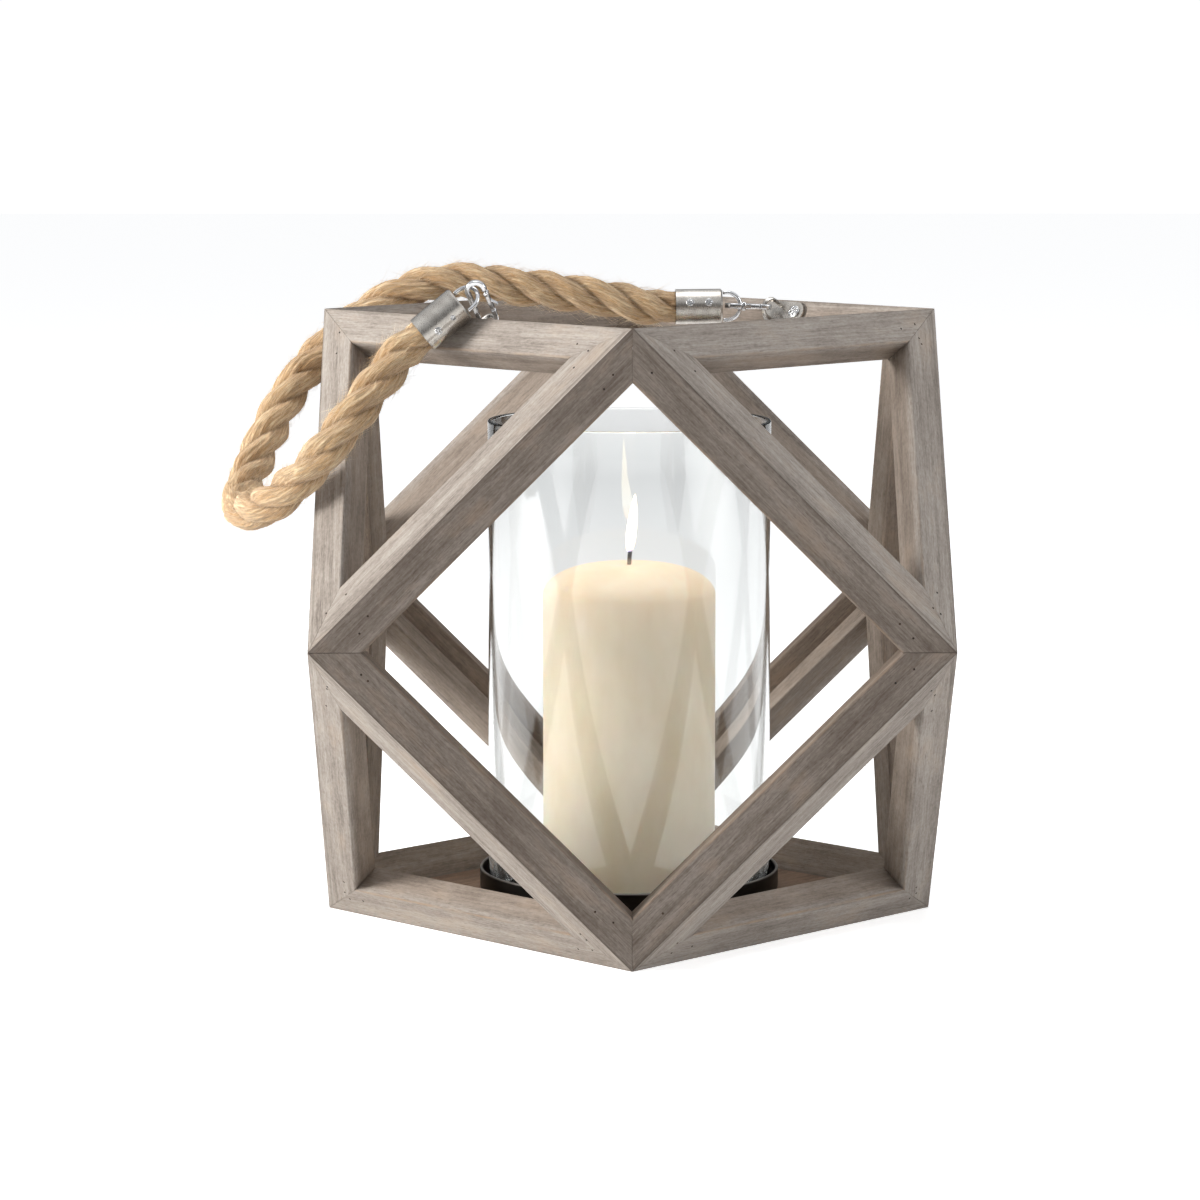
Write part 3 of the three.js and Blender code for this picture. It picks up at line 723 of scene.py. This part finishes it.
def pin_nails():
    """Most sticks have two pin nails near each end, set just into the face. Each is a shallow lens: a ring
    of points on the face with one point over and one under its middle."""
    centres, outs, asides = [], [], []
    for node in stick_nodes:
        along, inward, normal, outer, face, first, last = stick_axes(node)
        for end, away in ((first, 1), (last, -1)):
            for distance in PIN_FROM_END:
                if rng.random() > PIN_SHARE:
                    continue
                run = end + away * (distance + rng.normal(0, PIN_STRAY))
                across = outer + STICK_WIDTH * rng.uniform(*PIN_ACROSS)
                centres.append(along * run + inward * across + normal * face)
                outs.append(normal)
                asides.append(along)
    centres, outs, asides = np.array(centres), np.array(outs), np.array(asides)
    turn = np.linspace(0, 2 * np.pi, PIN_SIDES, endpoint=False)[None, :, None]
    third = np.cross(outs, asides)
    rim = asides[:, None] * np.cos(turn) + third[:, None] * np.sin(turn)
    top = centres + outs * PIN_RISE
    foot = centres - outs * PIN_RISE
    points = np.concatenate([centres[:, None] + rim * PIN_RADIUS, top[:, None], foot[:, None]], axis=1)
    base = np.arange(len(centres))[:, None] * (PIN_SIDES + 2)
    here = base + np.arange(PIN_SIDES)
    after = base + (np.arange(PIN_SIDES) + 1) % PIN_SIDES
    over = np.stack([here, after, np.broadcast_to(base + PIN_SIDES, here.shape)], axis=-1)
    under = np.stack([after, here, np.broadcast_to(base + PIN_SIDES + 1, here.shape)], axis=-1)
    faces = np.concatenate([over, under]).reshape(-1, 3).tolist()
    return put_in_scene("pin_nails", mesh_of("pin_nails", points, faces))


def pin_material():
    """Rusty steel pins with dark filler round them."""
    material, tree, shader = new_material("rusty_pin", 0.8)
    place = object_place(tree)
    rust = stretched_noise(tree, place, (900, 900, 900), 2, 0.5)
    colour = ramp(tree, rust, [(0.4, (0.012, 0.009, 0.007)), (0.65, (0.06, 0.035, 0.022))])
    tree.links.new(colour, shader.inputs["Base Color"])
    return material


fit(pin_nails(), pin_material())

# ------------------------------ base board
# A square board of the same wood, stained but hardly washed, set between the bottom sticks so that its
# underside is flush with them.
board = eased_copy("base_board", "wood_base_board", 0.0004)
points = read_points(board.data)
diagonal = np.array([(1, 1, 0), (-1, 1, 0), (0, 0, 2)]) / 2 ** 0.5
run_of_grain = points @ diagonal.T
write_vectors(board.data, "grain", run_of_grain + (5, 3, 0.01))
write_vectors(board.data, "stick", run_of_grain + (0, 0.5, 0.01))
board_wood = wood_material(
    "board_wood", (0.12, 0.075, 0.05), (0.22, 0.145, 0.10), (0.33, 0.235, 0.17),
    (0.26, 0.17, 0.115), (0.30, 0.18, 0.10))
fit(board, board_wood, node="base_board")

# ------------------------------ tray
# A shallow round tray spun from thin sheet metal, finished dark bronze, with a thin bright rolled lip.
TURN_STEPS = 160


def lathed(name, profile, steps=TURN_STEPS):
    """A surface of revolution: pairs of radius and height carried round Z; the profile starts and ends on
    the axis, or closes on itself."""
    profile = np.array(profile)
    turn = np.linspace(0, 2 * np.pi, steps, endpoint=False)
    closed = profile[0, 0] > 1e-9
    ring = np.stack([
        profile[:, None, 0] * np.cos(turn), profile[:, None, 0] * np.sin(turn),
        np.broadcast_to(profile[:, None, 1], (len(profile), steps))], axis=-1)
    if closed:
        ring = np.concatenate([ring, ring[:1]])
    made = grid_object(name, ring)
    shape = bmesh.new()
    shape.from_mesh(made.data)
    bmesh.ops.remove_doubles(shape, verts=shape.verts, dist=1e-7)
    bmesh.ops.recalc_face_normals(shape, faces=shape.faces)
    shape.to_mesh(made.data)
    shape.free()
    made.data.shade_smooth()
    return made


def arc(centre, radius, start, end, steps=8):
    """Points on an arc in the radius and height plane, angles in degrees."""
    angle = np.radians(np.linspace(start, end, steps))
    return [(centre[0] + radius * math.cos(a), centre[1] + radius * math.sin(a)) for a in angle]


low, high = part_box("tray")
tray_radius, tray_foot, tray_rim = high.x, low.z, high.z
SHEET = 0.001
BEND = 0.0022
LIP = 0.0006
LIP_BRIGHT = 0.0009
LIP_FADE = 0.0007
tray_profile = [(0, tray_foot)]
tray_profile += [(r, tray_foot) for r in np.linspace(0.01, tray_radius - BEND, 6)]
tray_profile += arc((tray_radius - BEND, tray_foot + BEND), BEND, -90, 0)
tray_profile += [(tray_radius, z) for z in np.linspace(tray_foot + 1.3 * BEND, tray_rim - LIP, 5)]
tray_profile += arc((tray_radius - LIP, tray_rim - LIP), LIP, 0, 180)
tray_profile += [
    (tray_radius - 2 * LIP, z) for z in np.linspace(tray_rim - 1.5 * LIP, tray_foot + 1.5 * BEND, 5)]
tray_profile += arc((tray_radius - BEND, tray_foot + BEND), BEND - SHEET, 0, -90)
tray_profile += [(0, tray_foot + SHEET)]
tray = lathed("bronze_tray", tray_profile)


def tray_material():
    """Dark bronze lacquer, cloudy, with faint bands round the wall; the lip is rubbed bright."""
    material, tree, shader = new_material("dark_bronze", 0.38, 0.75)
    place = object_place(tree)
    height = parts_of(tree, place)["Z"]
    cloud = stretched_noise(tree, place, (70, 70, 300), 4, 0.6)
    colour = ramp(tree, cloud, [(0.35, (0.006, 0.005, 0.004)), (0.7, (0.022, 0.018, 0.015))])
    lip = climb(tree, height, tray_rim - LIP_BRIGHT, 1 / LIP_FADE)
    colour = blend_colours(tree, lip, colour, (0.24, 0.22, 0.20))
    tree.links.new(colour, shader.inputs["Base Color"])
    rough = maths(tree, "MULTIPLY_ADD", cloud, 0.25, 0.25)
    tree.links.new(rough, shader.inputs["Roughness"])
    set_bump(tree, shader, cloud, 0.1, 0.0003)
    return material


fit(tray, tray_material(), "tray", "tray")

# ------------------------------ glass cylinder
# A clear blown cylinder with fire-polished rims, standing loose in the tray.
low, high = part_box("glass_cylinder")
GLASS_WALL = 0.0018
middle = high.x - GLASS_WALL / 2
rim = GLASS_WALL / 2
glass_profile = [(high.x, z) for z in np.linspace(low.z + rim, high.z - rim, 12)]
glass_profile += arc((middle, high.z - rim), rim, 0, 180, 10)[1:]
glass_profile += [(high.x - GLASS_WALL, z) for z in np.linspace(high.z - rim, low.z + rim, 12)][1:]
glass_profile += arc((middle, low.z + rim), rim, 180, 360, 10)[1:-1]
glass = lathed("clear_glass", glass_profile, 192)


def glass_material():
    """Clear glass with very faint waviness from blowing."""
    material, tree, shader = new_material("clear_glass", 0.0)
    shader.inputs["Transmission Weight"].default_value = 1.0
    shader.inputs["IOR"].default_value = 1.45
    shader.inputs["Base Color"].default_value = (0.985, 0.995, 0.992, 1)
    place = object_place(tree)
    wave = stretched_noise(tree, place, (14, 14, 9), 1, 0.4)
    set_bump(tree, shader, wave, 0.05, 0.002)
    return material


fit(glass, glass_material(), "glass_cylinder", "glass_cylinder")

# ------------------------------ candle, wick and flame
# An ivory pillar candle, poured wax with a softly domed top and a shallow melt round the wick. The wick
# is a braided cotton cord, charred at its end, with a small steady flame.
low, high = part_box("candle")
candle_radius, candle_foot, candle_top = high.x, low.z, high.z
SHOULDER = 0.0137
MELT = 0.009
MELT_DEPTH = 0.0006
FOOT_ROUND = 0.0015
GLOW_REACH = 0.045
candle_profile = [(0, candle_foot)]
candle_profile += [(r, candle_foot) for r in np.linspace(0.008, candle_radius - 0.0016, 4)]
candle_profile += arc((candle_radius - FOOT_ROUND, candle_foot + FOOT_ROUND), FOOT_ROUND, -85, 0, 5)
candle_profile += [
    (candle_radius, z) for z in np.linspace(candle_foot + 0.004, candle_top - SHOULDER - 0.002, 24)]
dome = np.radians(np.linspace(0, 90, 22))
candle_profile += [
    (MELT + (candle_radius - MELT) * math.cos(a), candle_top - SHOULDER + SHOULDER * math.sin(a))
    for a in dome]
candle_profile += [
    (r, candle_top - MELT_DEPTH * (1 - (r / MELT) ** 2)) for r in np.linspace(MELT * 0.85, 0.001, 6)]
candle_profile += [(0, candle_top - MELT_DEPTH)]
candle = lathed("ivory_candle", candle_profile)


def wax_material():
    """Ivory wax: light sinks in a little, the tone and the gloss are softly mottled, and the flame lights
    the wax from within near the top."""
    material, tree, shader = new_material("ivory_wax", 0.45)
    shader.inputs["Subsurface Weight"].default_value = 0.35
    shader.inputs["Subsurface Radius"].default_value = (0.012, 0.007, 0.004)
    shader.inputs["Subsurface Scale"].default_value = 0.6
    place = object_place(tree)
    height = parts_of(tree, place)["Z"]
    mottle = stretched_noise(tree, place, (45, 45, 22), 4, 0.6)
    colour = ramp(tree, mottle, [(0.3, (0.83, 0.70, 0.49)), (0.7, (0.93, 0.82, 0.64))])
    glow = climb(tree, height, candle_top - GLOW_REACH, 1 / GLOW_REACH)
    glow = maths(tree, "POWER", glow, 2.6)
    lit = ramp(tree, glow, [(0.0, (0, 0, 0)), (1.0, (1.0, 0.62, 0.34))])
    tree.links.new(lit, shader.inputs["Emission Color"])
    shader.inputs["Emission Strength"].default_value = 0.30
    tree.links.new(colour, shader.inputs["Base Color"])
    rough = maths(tree, "MULTIPLY_ADD", mottle, 0.3, 0.3)
    tree.links.new(rough, shader.inputs["Roughness"])
    fine = stretched_noise(tree, place, (260, 260, 120), 3, 0.6)
    set_bump(tree, shader, fine, 0.12, 0.0006)
    return material


fit(candle, wax_material(), "candle", "candle")

low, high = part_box("wick")
wick_radius = high.x
WICK_LEAN = 0.0006
WICK_SUNK = 0.0012
CHAR_REACH = 0.006


def wick_surface():
    """A cord whose outline has three plaits turning with height; it leans and its tip is burnt ragged."""
    t = np.linspace(0, 1, 40)[:, None]
    q = np.linspace(0, 2 * np.pi, 30, endpoint=False)[None, :]
    braid = 0.86 + 0.14 * np.cos(3 * (q - 4 * np.pi * t))
    tip = np.clip((1 - t) / 0.12, 0, 1) ** 0.5
    radius = wick_radius * braid * (0.35 + 0.65 * tip)
    lean = WICK_LEAN * t ** 2
    height = low.z - WICK_SUNK + (high.z - low.z + WICK_SUNK) * t + 0 * q
    return np.stack([radius * np.cos(q) + lean, radius * np.sin(q), height], axis=-1)


wick = grid_object("braided_wick", wick_surface(), caps=True)


def wick_material():
    """Cotton, pale at the wax and charred black towards the tip."""
    material, tree, shader = new_material("charred_cotton", 0.9)
    place = object_place(tree)
    height = parts_of(tree, place)["Z"]
    thread = stretched_noise(tree, place, (1500, 1500, 500), 2, 0.6)
    rise = maths(tree, "SUBTRACT", height, low.z)
    rise = maths(tree, "MULTIPLY", rise, 1 / CHAR_REACH)
    burn = maths(tree, "MULTIPLY_ADD", thread, 0.4, rise)
    colour = ramp(tree, burn, [(0.25, (0.32, 0.25, 0.18)), (0.6, (0.02, 0.015, 0.012))])
    tree.links.new(colour, shader.inputs["Base Color"])
    set_bump(tree, shader, thread, 0.5, 0.0003)
    return material


fit(wick, wick_material(), "candle", "wick")

FLAME_FOOT = high.z - 0.0022
FLAME_HEIGHT = 0.0262
FLAME_RADIUS = 0.0027
FLAME_DRIFT = 0.0026


def flame_surface():
    """A drop of revolution: full low down and drawn to a point, bent a little by the draught."""
    t = np.linspace(0, 1, 44)[:, None]
    q = np.linspace(0, 2 * np.pi, 32, endpoint=False)[None, :]
    radius = FLAME_RADIUS * 1.75 * t ** 0.4 * (1 - t) ** 0.75 + 0.00004
    drift = FLAME_DRIFT * t
    height = FLAME_FOOT + FLAME_HEIGHT * t + 0 * q
    return np.stack([radius * np.cos(q) + drift, radius * np.sin(q), height], axis=-1)


flame = grid_object("flame", flame_surface(), caps=True)


def flame_material():
    """Glowing gas: clear and bluish at the foot, orange just above, then white-yellow; thin at its rim."""
    material, tree, shader = new_material("flame", 1.0)
    shader.inputs["Base Color"].default_value = (0, 0, 0, 1)
    shader.inputs["Specular IOR Level"].default_value = 0
    rise = maths(tree, "SUBTRACT", parts_of(tree, object_place(tree))["Z"], FLAME_FOOT)
    rise = maths(tree, "MULTIPLY", rise, 1 / FLAME_HEIGHT)
    colour = ramp(tree, rise, [
        (0.0, (0.25, 0.35, 0.8)), (0.10, (1.0, 0.62, 0.28)),
        (0.35, (1, 0.93, 0.72)), (1.0, (1, 0.80, 0.45))])
    tree.links.new(colour, shader.inputs["Emission Color"])
    shader.inputs["Emission Strength"].default_value = 5.0
    rim_glow = put(tree, "ShaderNodeLayerWeight", Blend=0.35)
    alpha = maths(tree, "SUBTRACT", 1.0, rim_glow.outputs["Facing"])
    alpha = maths(tree, "MULTIPLY", alpha, 1.6, clamp=True)
    foot = maths(tree, "MULTIPLY", rise, 8.0, clamp=True)
    tree.links.new(maths(tree, "MULTIPLY", alpha, foot), shader.inputs["Alpha"])
    return material


fit(flame, flame_material(), "candle")

# ------------------------------ ferrules and snap hooks
# Each rope end is pressed into a brushed nickel ferrule held by two small screws. A wire bail on its end
# carries a small chromed snap hook, which clips to an eye plate screwed to a top stick.


def brushed_group():
    """Brushed metal: fine scratches round or along the piece, and faint handling marks."""
    tree, entry, out = node_group(
        "brushed_marks", [("Vector", "NodeSocketVector"), ("Fine", "NodeSocketFloat")],
        [("Scratch", "NodeSocketFloat"), ("Cloud", "NodeSocketFloat")])
    scaled = tree.nodes.new("ShaderNodeVectorMath")
    scaled.operation = "SCALE"
    tree.links.new(entry.outputs["Vector"], scaled.inputs[0])
    tree.links.new(entry.outputs["Fine"], scaled.inputs["Scale"])
    scratch = stretched_noise(tree, scaled.outputs[0], (1, 1, 0.06), 4, 0.7)
    cloud = stretched_noise(tree, entry.outputs["Vector"], (220, 220, 220), 3, 0.5)
    tree.links.new(scratch, out.inputs["Scratch"])
    tree.links.new(cloud, out.inputs["Cloud"])
    return tree


BRUSHED = brushed_group()


def metal_material(name, dark, pale, roughness, fine, depth):
    material, tree, shader = new_material(name, roughness, 1.0)
    place = object_place(tree)
    marks = put(tree, "ShaderNodeGroup", node_tree=BRUSHED)
    marks.inputs["Fine"].default_value = fine
    tree.links.new(place, marks.inputs["Vector"])
    colour = ramp(tree, marks.outputs["Cloud"], [(0.3, dark), (0.7, pale)])
    tree.links.new(colour, shader.inputs["Base Color"])
    rough = maths(tree, "MULTIPLY_ADD", marks.outputs["Scratch"], 0.25, roughness - 0.1)
    tree.links.new(rough, shader.inputs["Roughness"])
    set_bump(tree, shader, marks.outputs["Scratch"], depth, 0.0001)
    return material


nickel = metal_material("brushed_nickel", (0.40, 0.37, 0.335), (0.56, 0.53, 0.485), 0.26, 3500, 0.12)
chrome = metal_material("chrome_plate", (0.55, 0.55, 0.56), (0.78, 0.78, 0.78), 0.14, 900, 0.08)
steel = metal_material("screw_steel", (0.42, 0.42, 0.42), (0.66, 0.66, 0.66), 0.22, 2500, 0.25)

METAL_PIECES = [
    ("ferrule", "nickel_{}_ferrule", 0.0003, nickel, "nickel", "frame", 0),
    ("bail", "{}_wire_bail", 0, chrome, "chrome", "frame", 2),
    ("snap_hook", "chrome_{}_snap_hook", 0.0006, chrome, "chrome", "frame", 0),
    ("snap_hook_gate", "chrome_{}_hook_gate", 0.0004, chrome, "chrome", "{}_gate", 0),
    ("eye_plate", "nickel_{}_eye_plate", 0.0002, nickel, "nickel", "frame", 0),
]

RIVET_RADIUS = 0.0011
RIVET_REACH = 0.0020
TAB_START = -0.0004
TAB_RUN = 0.0036
TAB_RISE = 0.0021
TAB_HALF_WIDTH = 0.0010
TAB_HALF_SHEET = 0.00045
TAB_OVER_GATE = 0.0006
SCREW_TURNS = {"left": (0.5, 1.1), "right": (0.2, 0.8)}
FERRULE_RADIUS = 0.008
FERRULE_SCREW_RADIUS = 0.0018
FERRULE_SCREW_HEIGHT = 0.0008
PLATE_SCREW_RADIUS = 0.0030
PLATE_SCREW_HEIGHT = 0.0012
PLATE_SCREW_INSET = 0.0050
PLATE_SHEET = 0.0012
HEAD_GAP = 0.0001


def box_centre(node):
    low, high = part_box(node)
    return np.array((low + high) / 2)


def unit(vector):
    return vector / np.linalg.norm(vector)


def pan_head(name, place, out, radius, height, turn):
    """A domed screw head with a cross recess: the dome falls off as the square of the radius, and the
    recess is two crossed slots with soft walls. Rings run from the middle out, down the rim and under."""
    r = np.concatenate([np.linspace(0.02, 0.96, 22), [1.0, 1.0, 0.98]])[:, None] * radius
    q = np.linspace(0, 2 * np.pi, 64, endpoint=False)[None, :]
    x = r * np.cos(q)
    y = r * np.sin(q)
    slot = np.minimum(np.abs(x), np.abs(y)) / (0.17 * radius)
    recess = 0.5 * (1 - np.tanh(4 * (slot - 1))) * 0.5 * (1 - np.tanh(14 * (r / radius - 0.66)))
    level = height * (1 - 0.5 * (r / radius) ** 2) - 0.8 * height * recess
    level[-3:] = height * np.array([0.3, 0.0, -0.2])[:, None]
    side = unit(np.cross(out, turn))
    aside = np.cross(out, side)
    points = place + x[..., None] * aside + y[..., None] * side + level[..., None] * out
    return grid_object(name, points[::-1], caps=True)


def rounded_bar(name, path, wide, thick, broad, flat, sides=20):
    """A bar along a path: each section is a rounded rectangle (a superellipse) across two directions."""
    q = np.linspace(0, 2 * np.pi, sides, endpoint=False)
    c = np.sign(np.cos(q)) * np.abs(np.cos(q)) ** 0.6
    d = np.sign(np.sin(q)) * np.abs(np.sin(q)) ** 0.6
    section = (c[:, None] * broad)[None] * wide[:, None, None]
    section = section + (d[:, None] * flat)[None] * thick[:, None, None]
    return grid_object(name, path[:, None] + section, caps=True)


def hook_fittings(side):
    """On each snap hook: a domed rivet through the gate's pivot, and a thumb tab that curls up off the
    gate. The tab's height follows the square of a sine along its run."""
    joint = next(each for each in frame["joints"] if each["name"] == f"{side}_gate_pivot")
    pivot = np.array(joint["pos_m"])
    axis = unit(np.array(joint["axis"]))
    hook = box_centre(f"{side}_snap_hook")
    gate = box_centre(f"{side}_snap_hook_gate")
    along = unit(gate - pivot)
    out = unit(np.cross(axis, along))
    if (gate - hook) @ out < 0:
        out = -out
    head = np.radians(np.linspace(2, 90, 8))
    half = RIVET_REACH * np.concatenate([0.72 + 0.28 * np.cos(head), -0.72 - 0.28 * np.cos(head[::-1])])
    round_off = RIVET_RADIUS * np.concatenate([np.sin(head), np.sin(head[::-1])])
    q = np.linspace(0, 2 * np.pi, 28, endpoint=False)
    ring = np.cos(q)[:, None] * along + np.sin(q)[:, None] * out
    points = pivot + half[:, None, None] * axis + round_off[:, None, None] * ring[None]
    rivet = grid_object(f"{side}_gate_rivet", points, caps=True)
    t = np.linspace(0, 1, 16)
    rise = TAB_RISE * np.sin(t * np.pi / 2) ** 2
    path = gate + along * (TAB_START + TAB_RUN * t)[:, None] + out * (TAB_OVER_GATE + rise)[:, None]
    full = np.sqrt(np.clip(1 - (2 * t - 1) ** 8, 0.02, 1))
    tab = rounded_bar(
        f"{side}_gate_thumb_tab", path, TAB_HALF_WIDTH * full, TAB_HALF_SHEET * full, axis, out)
    return rivet, tab


rope_ends = {"right": (rope_line[0], -rope_tangent[0]), "left": (rope_line[-1], rope_tangent[-1])}
plate_normals = {"right": unit(np.array((0, 0, 1)) - unit(np.array((1, 1, 1)))),
                 "left": unit(np.array((0, 0, 1)) - unit(np.array((-1, -1, 1))))}
plate_along = unit(np.array((1, -1, 0)))
cord_pieces = [rope_fuzz, rope_wisps]
for side in ("left", "right"):
    made = {}
    for part_name, title, edge, finish, slot_name, body, levels in METAL_PIECES:
        node = f"{side}_{part_name}"
        piece = eased_copy(node, title.format(side), edge, 3)
        if levels:
            smooth = piece.modifiers.new("round", "SUBSURF")
            smooth.levels = smooth.render_levels = levels
        fit(piece, finish, body.format(side), node)
        made[part_name] = piece
    cord_pieces += [made["ferrule"], made["bail"]]
    end, axis = rope_ends[side]
    for number, turn in enumerate(SCREW_TURNS[side], 1):
        node = f"{side}_ferrule_screw_{number}"
        middle = box_centre(node)
        reach = (middle - end) @ axis
        out = unit(middle - end - axis * reach)
        screw = pan_head(
            f"{side}_ferrule_screw_head_{number}", end + axis * reach + out * FERRULE_RADIUS, out,
            FERRULE_SCREW_RADIUS, FERRULE_SCREW_HEIGHT,
            axis * math.cos(turn) + np.cross(out, axis) * math.sin(turn))
        fit(screw, steel, node=node)
        cord_pieces.append(screw)
    normal = plate_normals[side]
    flat = read_points(frame["nodes"][f"{side}_eye_plate"].data)
    height = flat @ normal
    sheet = flat[height < height.min() + PLATE_SHEET + 2 * HEAD_GAP]
    across = np.cross(normal, plate_along)
    middle = across * ((sheet @ across).min() + (sheet @ across).max()) / 2
    tail = plate_along * ((sheet @ plate_along).max() - PLATE_SCREW_INSET)
    place = middle + tail + normal * (height.min() + PLATE_SHEET + HEAD_GAP)
    plate_screw = pan_head(
        f"{side}_plate_screw_head", place, normal, PLATE_SCREW_RADIUS, PLATE_SCREW_HEIGHT,
        plate_along + 0.4 * across)
    rivet, tab = hook_fittings(side)
    fit(plate_screw, steel)
    fit(rivet, chrome)
    fit(tab, chrome, f"{side}_gate")
